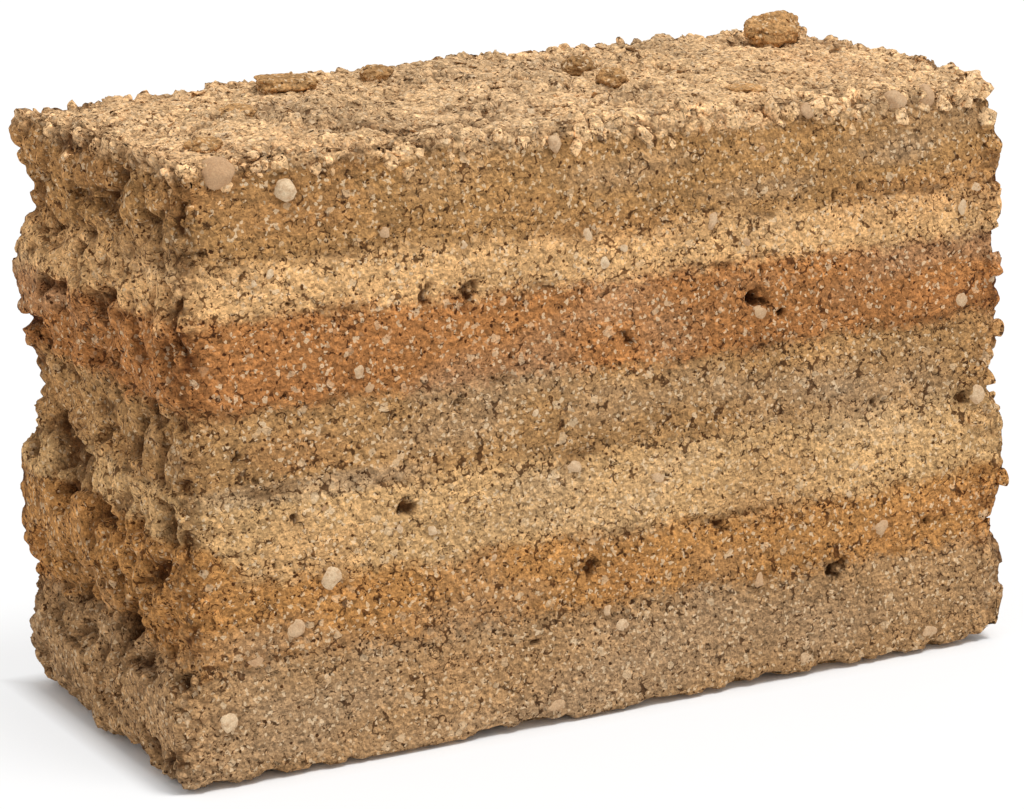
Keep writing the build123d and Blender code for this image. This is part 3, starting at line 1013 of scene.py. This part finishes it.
arrisBlocks = {
    "count": 290,
    "size": (0.005, 0.0115),
    "bedding": 0.1,
    "growth": 0.35,  # how much larger they are at the right
    "upperFrom": 0.235,
    "frontTo": -0.055,
    "odds": (1.0, 0.22, 0.16),  # on the front upper arris, the other upper ones and the upright ones
    "tilt": 0.5,
    "length": 1.2,
    "breadth": (0.75, 1),
    "thickness": 0.8,
    "tone": (0.94, 1.2),
    "detail": 3,
    "first": 300,
    "crustFrom": 0.236,
    "crustLevel": 0.262,
}


def readNumbers(mesh, name):
    numbers = np.empty(len(mesh.vertices), np.float32)
    mesh.attributes[name].data.foreach_get("value", numbers)
    return numbers


def changeNumbers(mesh, name, numbers):
    mesh.attributes[name].data.foreach_set("value", np.asarray(numbers, np.float32))


def buildArrisBlocks():  # blocks of crust that are breaking away along the arrises, larger toward the right
    look = arrisBlocks
    corner = wholeSurface["points"][wholeSurface["corners"][:, 0]]
    upper = corner[:, 2] > look["upperFrom"]
    onFront, onTop, upright = look["odds"]
    odds = np.where(upper & (corner[:, 1] < look["frontTo"]), onFront, np.where(upper, onTop, upright))
    stones = scatteredStones(look, blockShape, wholeSurface["arris"] * odds)
    mesh = stoneMesh("arrisBlocks", stones)
    levels = readNumbers(mesh, "liftLevel")
    heights = readVectors(mesh.vertices, "co")[:, 2]
    crust = np.where(heights > look["crustFrom"], np.maximum(levels, look["crustLevel"]), levels)
    changeNumbers(mesh, "liftLevel", crust)
    return addPiece("arrisBlocks", mesh)


stoneValues = {"liftLevel": 0.225, "coarseness": -0.6, "drift": 0.25}  # brown and close-grained all through
stoneGrit = {"size": 0.003, "seed": 107, "depth": 0.06, "own": 0.8, "bend": (0.0008, 0.004, 111)}
stoneStand = {"halfHeight": 0.6, "rise": 0.28, "tone": 1.18, "detail": 5, "first": 7}


def buildTopStones():
    stones = []
    for index, (along, across, breadth, depth, height, turn, tone) in enumerate(topStones):
        place = surfaceAt("dressedTop", (along, across, castFrom["top"]), (0, 0, -1))
        unit, faces = brokenStone(stoneStand["detail"], clodShape, index + stoneStand["first"])
        body = unit * np.array([breadth / 2, depth / 2, height * stoneStand["halfHeight"]])
        bent = warped(body, *stoneGrit["bend"]) + index
        crumb, own = cells(bent, stoneGrit["size"], stoneGrit["seed"])
        body = body * (1 + stoneGrit["depth"] * (crumb - 1 + stoneGrit["own"] * (own - 0.5)))[:, None]
        spin = np.array(Matrix.Rotation(math.radians(turn), 3, "Z"))
        body = body @ spin.T + place + np.array([0, 0, height * stoneStand["rise"]])
        stones.append((body, faces, tone * stoneStand["tone"], unit))
    mesh = stoneMesh("topStones", stones)
    for name, number in stoneValues.items():
        changeNumbers(mesh, name, np.full(len(mesh.vertices), number))
    return addPiece("topStones", mesh)


bpy.context.view_layer.update()
pebbles = buildPebbles()
pieces.append(buildArrisBlocks())
pieces.append(buildTopStones())
print("pebbles", len(facePebbles) + scatteredLook["count"])
print("blocks", arrisBlocks["count"], "stones", len(topStones))


# Earth finish: lift colours with ragged joints, drifts of grey and rust, grains, pale flecks, painted light
# and shade on the sides of the lumps, and painted shade in pores, crevices, pits and cracks
earthFinish = {
    "height": 0.28,
    "softness": 0.003,
    "colours": [  # from the foot up, as sRGB; the last is the dry crust of the top
        (168, 131, 90),
        (176, 126, 72),
        (196, 156, 106),
        (171, 130, 83),
        (170, 115, 66),
        (210, 165, 112),
        (167, 125, 77),
        (223, 183, 135),
    ],
    "ragged": 0.006,
    "grey": (164, 142, 116),
    "greyFrom": (0.1, 0.9, 0, 0.5),  # from these two values of drift to these two shares
    "rust": (180, 118, 68),
    "rustFrom": (-0.1, -0.9, 0, 0.35),
    "pale": (234, 206, 168),
    # colour that the painted shade multiplies in
    "shade": (0.17, 0.115, 0.075, 1),
    # step toward the lamp, for the painted light and shade on the sides of the lumps
    "lightFrom": (0.0003, -0.0003, 0.0006),
    "lumpNoise": (310, 2, 0.6),  # scale, detail and roughness
    "sandNoise": (820, 1, 0.6),
    "bendNoise": (420, 1, 0.5),
    "bend": 0.0016,
    "gravelScale": 330,
    "gritScale": 760,
    "gravelTone": (0.9, 1.1),
    "gritTone": (0.74, 1.26),
    "sandTone": (0.3, 0.7, 0.88, 1.12),
    # painted shade and painted light from the slope of the lumps toward the lamp
    "paintedSlopeLight": (-0.16, 0.16, 0.62, 1.38),
    "lumpShare": 0.6,
    "gritFleck": (0.9, 0.93, 0, 0.6),
    "gravelFleck": (0.965, 0.985, 0, 0.4),
    "endFleck": (0.7, 0.95, 1, 0.35),  # fewer flecks where the earth is coarse
    "coarseLoose": 0.2,
    "creviceEdge": (0.6, 0.69, 0, 0.9),
    "creviceLoose": (0.74, 0.82, 0, 1),
    "coarseOpen": 0.045,
    "poreEdge": (0.338, 0.356, 1, 0),
    "pitScale": 260,
    "pitEdge": (0.15, 0.22, 1, 0),
    "pitOften": (0.68, 0.7, 0, 1),
    "crackFlat": 2.4,
    "crackNoise": (95, 2, 0.5),
    "crackEdge": (0.004, 0.014, 0.9, 0),
    "coarseTorn": 0.1,
    "crackTorn": (0.5, 0.58, 0, 1),
    "roughness": 0.96,
    "gloss": 0.15,
    "bump": (0.9, 0.0028),  # strength and depth
}

pebbleFinish = {
    "cream": (222, 196, 160),
    "brown": (182, 140, 100),
    "spot": (178, 138, 100),
    "spotNoise": (420, 4, 0.65),
    "spotEdge": (0.42, 0.7, 0, 0.8),
    "dustNoise": (1500, 2, 0.6),
    "dustTone": (0.3, 0.7, 0.8, 1.12),
    "grainNoise": (800, 3, 0.6),
    "roughness": 0.85,
    "gloss": 0.2,
    "bump": (0.5, 0.0006),
}


def linear(colour):
    values = []
    for part in colour:
        share = part / 255
        values.append(share / 12.92 if share <= 0.04045 else ((share + 0.055) / 1.055) ** 2.4)
    return (*values, 1.0)


def addNode(tree, kind, **settings):
    node = tree.nodes.new(kind)
    for name, value in settings.items():
        setattr(node, name, value)
    return node


def join(tree, source, target):
    tree.links.new(source, target)


def noiseNode(tree, place, scale, detail, rough):
    node = addNode(tree, "ShaderNodeTexNoise")
    node.inputs["Scale"].default_value = scale
    node.inputs["Detail"].default_value = detail
    node.inputs["Roughness"].default_value = rough
    join(tree, place, node.inputs["Vector"])
    return node


def noiseFac(tree, place, scale, detail, rough):
    return noiseNode(tree, place, scale, detail, rough).outputs["Fac"]


def sums(tree, operation, first, second):
    node = addNode(tree, "ShaderNodeMath", operation=operation)
    for index, value in enumerate((first, second)):
        if isinstance(value, (int, float)):
            node.inputs[index].default_value = value
        else:
            join(tree, value, node.inputs[index])
    return node.outputs[0]


def product(tree, *values):
    return functools.reduce(lambda first, second: sums(tree, "MULTIPLY", first, second), values)


def largest(tree, *values):
    return functools.reduce(lambda first, second: sums(tree, "MAXIMUM", first, second), values)


def vectorSum(tree, operation, first, second):
    node = addNode(tree, "ShaderNodeVectorMath", operation=operation)
    for index, value in enumerate((first, second)):
        if isinstance(value, tuple):
            node.inputs[index].default_value = value
        else:
            join(tree, value, node.inputs[index])
    return node.outputs[0]


def rescale(tree, value, fromLow, fromHigh, toLow, toHigh):
    node = addNode(tree, "ShaderNodeMapRange")
    join(tree, value, node.inputs["Value"])
    ends = {"From Min": fromLow, "From Max": fromHigh, "To Min": toLow, "To Max": toHigh}
    for name, number in ends.items():
        node.inputs[name].default_value = number
    return node.outputs["Result"]


def mixColour(tree, blend, factor, first, second):
    node = addNode(tree, "ShaderNodeMix", data_type="RGBA", blend_type=blend)
    for socket, value in ((node.inputs[0], factor), (node.inputs[6], first), (node.inputs[7], second)):
        if isinstance(value, (int, float, tuple)):
            socket.default_value = value
        else:
            join(tree, value, socket)
    return node.outputs[2]


def readValue(tree, name):
    return addNode(tree, "ShaderNodeAttribute", attribute_name=name).outputs["Fac"]


def toned(tree, colour, tone):
    grey = addNode(tree, "ShaderNodeCombineColor")
    for channel in range(3):
        join(tree, tone, grey.inputs[channel])
    return mixColour(tree, "MULTIPLY", 1.0, colour, grey.outputs["Color"])


def newFinish(name, look):
    material = bpy.data.materials.new(name)
    material.use_nodes = True
    shader = material.node_tree.nodes["Principled BSDF"]
    shader.inputs["Roughness"].default_value = look["roughness"]
    shader.inputs["Specular IOR Level"].default_value = look["gloss"]
    return material, material.node_tree, shader


def liftColour(tree, ragged):
    look = earthFinish
    shift = rescale(tree, ragged, 0, 1, -look["ragged"], look["ragged"])
    level = sums(tree, "ADD", readValue(tree, "liftLevel"), shift)
    ramp = addNode(tree, "ShaderNodeValToRGB")
    join(tree, sums(tree, "DIVIDE", level, look["height"]), ramp.inputs["Fac"])
    stops = ramp.color_ramp.elements
    stops[0].position = 0
    stops[0].color = linear(look["colours"][0])
    stops[1].position = 1
    stops[1].color = linear(look["colours"][-1])
    for index, joint in enumerate(lifts["joints"] + [lifts["crustJoint"]]):
        for side, colour in ((-1, look["colours"][index]), (1, look["colours"][index + 1])):
            stop = stops.new((joint + side * look["softness"]) / look["height"])
            stop.color = linear(colour)
    drift = readValue(tree, "drift")
    colour = ramp.outputs["Color"]
    for name in ("grey", "rust"):
        share = rescale(tree, drift, *look[name + "From"])
        colour = mixColour(tree, "MIX", share, colour, linear(look[name]))
    return colour


def addBump(tree, shader, height, strength, depth):
    bump = addNode(tree, "ShaderNodeBump")
    bump.inputs["Strength"].default_value = strength
    bump.inputs["Distance"].default_value = depth
    join(tree, height, bump.inputs["Height"])
    join(tree, bump.outputs["Normal"], shader.inputs["Normal"])


def grainSlope(tree, place, height, noise):  # above 0 on the side of a grain toward the light, for painted light and shade
    beside = vectorSum(tree, "ADD", place, earthFinish["lightFrom"])
    return sums(tree, "SUBTRACT", height, noiseFac(tree, beside, *noise))


def grains(tree, place, scale):  # distance from the middle of a grain, and three numbers of its own
    cell = addNode(tree, "ShaderNodeTexVoronoi")
    cell.inputs["Scale"].default_value = scale
    join(tree, place, cell.inputs["Vector"])
    own = addNode(tree, "ShaderNodeSeparateColor")
    join(tree, cell.outputs["Color"], own.inputs[0])
    return cell.outputs["Distance"], own.outputs


def earthMaterial():
    look = earthFinish
    material, tree, shader = newFinish("rammedEarth", look)
    place = addNode(tree, "ShaderNodeTexCoord").outputs["Object"]
    lump = noiseFac(tree, place, *look["lumpNoise"])
    sand = noiseFac(tree, place, *look["sandNoise"])
    slope = grainSlope(tree, place, lump, look["lumpNoise"])
    coarse = readValue(tree, "coarseness")
    colour = toned(tree, liftColour(tree, lump), readValue(tree, "tone"))

    # gravel and sand, each grain of its own tone, with painted light on the side of each lump toward the lamp
    # and painted shade on the other
    bend = noiseNode(tree, place, *look["bendNoise"]).outputs["Color"]
    bent = vectorSum(tree, "ADD", place, vectorSum(tree, "MULTIPLY", bend, (look["bend"],) * 3))
    gravel, gravelOwn = grains(tree, bent, look["gravelScale"])
    gritOwn = grains(tree, bent, look["gritScale"])[1]
    gravelTone = rescale(tree, gravelOwn[0], 0, 1, *look["gravelTone"])
    gritTone = rescale(tree, gritOwn[0], 0, 1, *look["gritTone"])
    sandTone = rescale(tree, sand, *look["sandTone"])
    paintedSlopeLight = rescale(tree, slope, *look["paintedSlopeLight"])
    colour = toned(tree, colour, product(tree, gravelTone, gritTone, sandTone, paintedSlopeLight))

    # pale flecks and whole pale crumbs
    gritFleck = rescale(tree, gritOwn[2], *look["gritFleck"])
    fleck = largest(tree, gritFleck, rescale(tree, gravelOwn[2], *look["gravelFleck"]))
    fleck = product(tree, fleck, rescale(tree, coarse, *look["endFleck"]))
    fleck = largest(tree, fleck, readValue(tree, "pale"))
    colour = mixColour(tree, "MIX", fleck, colour, linear(look["pale"]))

    # painted shade in crevices round some of the grains and in open pores, closer together where the earth is
    # coarse
    looser = product(tree, coarse, look["coarseLoose"])
    loose = rescale(tree, sums(tree, "ADD", gravelOwn[1], looser), *look["creviceLoose"])
    crevice = product(tree, rescale(tree, gravel, *look["creviceEdge"]), loose)
    share = look["lumpShare"]
    skin = sums(tree, "ADD", product(tree, lump, share), product(tree, sand, 1 - share))
    opening = sums(tree, "SUBTRACT", skin, product(tree, coarse, look["coarseOpen"]))
    pore = rescale(tree, opening, *look["poreEdge"])
    pit, pitOwn = grains(tree, bent, look["pitScale"])
    often = rescale(tree, sums(tree, "ADD", pitOwn[0], looser), *look["pitOften"])
    pit = product(tree, rescale(tree, pit, *look["pitEdge"]), often)

    # painted shade in thin cracks that run along the lifts
    flat = vectorSum(tree, "MULTIPLY", bent, (1, 1, look["crackFlat"]))
    fromLine = sums(tree, "SUBTRACT", noiseFac(tree, flat, *look["crackNoise"]), 0.5)
    crack = rescale(tree, sums(tree, "ABSOLUTE", fromLine, 0), *look["crackEdge"])
    torn = sums(tree, "ADD", sand, product(tree, coarse, look["coarseTorn"]))
    crack = product(tree, crack, rescale(tree, torn, *look["crackTorn"]))
    # all painted shade: pores, crevices, pits, cracks and the shade of the mesh's hollows, multiplied in with
    # the shade colour
    paintedShade = largest(tree, pore, crevice, pit, crack, readValue(tree, "hollowShade"))
    colour = mixColour(tree, "MULTIPLY", paintedShade, colour, look["shade"])
    join(tree, colour, shader.inputs["Base Color"])
    addBump(tree, shader, skin, *look["bump"])
    return material


def pebbleMaterial():
    look = pebbleFinish
    material, tree, shader = newFinish("pebbleStone", look)
    place = addNode(tree, "ShaderNodeTexCoord").outputs["Object"]
    tint = readValue(tree, "tone")
    colour = mixColour(tree, "MIX", tint, linear(look["cream"]), linear(look["brown"]))
    cloud = rescale(tree, noiseFac(tree, place, *look["spotNoise"]), *look["spotEdge"])
    colour = mixColour(tree, "MIX", cloud, colour, linear(look["spot"]))
    dust = rescale(tree, noiseFac(tree, place, *look["dustNoise"]), *look["dustTone"])
    join(tree, toned(tree, colour, dust), shader.inputs["Base Color"])
    addBump(tree, shader, noiseFac(tree, place, *look["grainNoise"]), *look["bump"])
    return material


earth = earthMaterial()
for piece in pieces:
    piece.data.materials.append(earth)
pebbles.data.materials.append(pebbleMaterial())
print("finishes on", len(pieces) + 1, "pieces")


# Floor, light and camera
studio = {
    "floorSize": 6.0,
    "floorColour": (0.86, 0.86, 0.86, 1),
    "floorRoughness": 0.9,
    "floorGlow": 0.74,
    "glowReach": (-0.003, 0.01),  # the floor starts to glow just outside the block's foot
    "worldStrength": 0.8,
    "keyStrength": 1.9,
    "keyAngle": 18,
    "keyFrom": (0.22, -0.3, 0.93),
    "lens": 120,
    "filmWidth": 36,
    "farthest": 20,
    "camera": (-0.7211, -1.2515, 0.491),
    "target": (-0.00378, 0.00608, 0.11657),
}


def seenByCamera(tree):
    return addNode(tree, "ShaderNodeLightPath").outputs["Is Camera Ray"]


def floorPaint():  # white paper that glows for the camera outside the block's foot
    paint = bpy.data.materials.new("floorPaper")
    paint.use_nodes = True
    tree = paint.node_tree
    shader = tree.nodes["Principled BSDF"]
    shader.inputs["Base Color"].default_value = studio["floorColour"]
    shader.inputs["Roughness"].default_value = studio["floorRoughness"]
    glow = addNode(tree, "ShaderNodeEmission")
    mix = addNode(tree, "ShaderNodeMixShader")
    spot = addNode(tree, "ShaderNodeSeparateXYZ")
    join(tree, addNode(tree, "ShaderNodeTexCoord").outputs["Object"], spot.inputs[0])
    gaps = []
    for axis in range(2):
        fromMiddle = sums(tree, "ABSOLUTE", spot.outputs[axis], 0)
        gaps.append(sums(tree, "SUBTRACT", fromMiddle, float(blockHalf[axis])))
    glowHere = rescale(tree, largest(tree, *gaps), *studio["glowReach"], 0, studio["floorGlow"])
    join(tree, product(tree, seenByCamera(tree), glowHere), mix.inputs[0])
    join(tree, shader.outputs[0], mix.inputs[1])
    join(tree, glow.outputs[0], mix.inputs[2])
    join(tree, mix.outputs[0], tree.nodes["Material Output"].inputs["Surface"])
    return paint


def buildFloor():
    half = studio["floorSize"] / 2
    mesh = bpy.data.meshes.new("floor")
    corners = [(-half, -half, 0), (half, -half, 0), (half, half, 0), (-half, half, 0)]
    mesh.from_pydata(corners, [], [(0, 1, 2, 3)])
    mesh.materials.append(floorPaint())
    addToScene("floor", mesh)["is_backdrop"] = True


def buildLight():
    world = bpy.data.worlds.new("softRoom")
    bpy.context.scene.world = world
    world.use_nodes = True
    tree = world.node_tree
    back = tree.nodes["Background"]
    back.inputs["Color"].default_value = (1, 1, 1, 1)
    strength = rescale(tree, seenByCamera(tree), 0, 1, studio["worldStrength"], 1)
    join(tree, strength, back.inputs["Strength"])
    lamp = bpy.data.lights.new("softKey", "SUN")
    lamp.energy = studio["keyStrength"]
    lamp.angle = math.radians(studio["keyAngle"])
    key = addToScene("softKey", lamp)
    key.rotation_euler = Vector(studio["keyFrom"]).to_track_quat("Z", "Y").to_euler()


def buildCamera():
    lensData = bpy.data.cameras.new("camera")
    lensData.lens = studio["lens"]
    lensData.sensor_width = studio["filmWidth"]
    lensData.clip_end = studio["farthest"]
    camera = addToScene("camera", lensData)
    camera.location = studio["camera"]
    aim = Vector(studio["target"]) - Vector(studio["camera"])
    camera.rotation_euler = aim.to_track_quat("-Z", "Y").to_euler()
    bpy.context.scene.camera = camera
    bpy.context.scene.view_settings.view_transform = "Standard"


buildFloor()
buildLight()
buildCamera()
print("studio ready")

newLow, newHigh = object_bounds()
sizes = {"cad": [list(cadLow), list(cadHigh)], "visual": [list(newLow), list(newHigh)]}
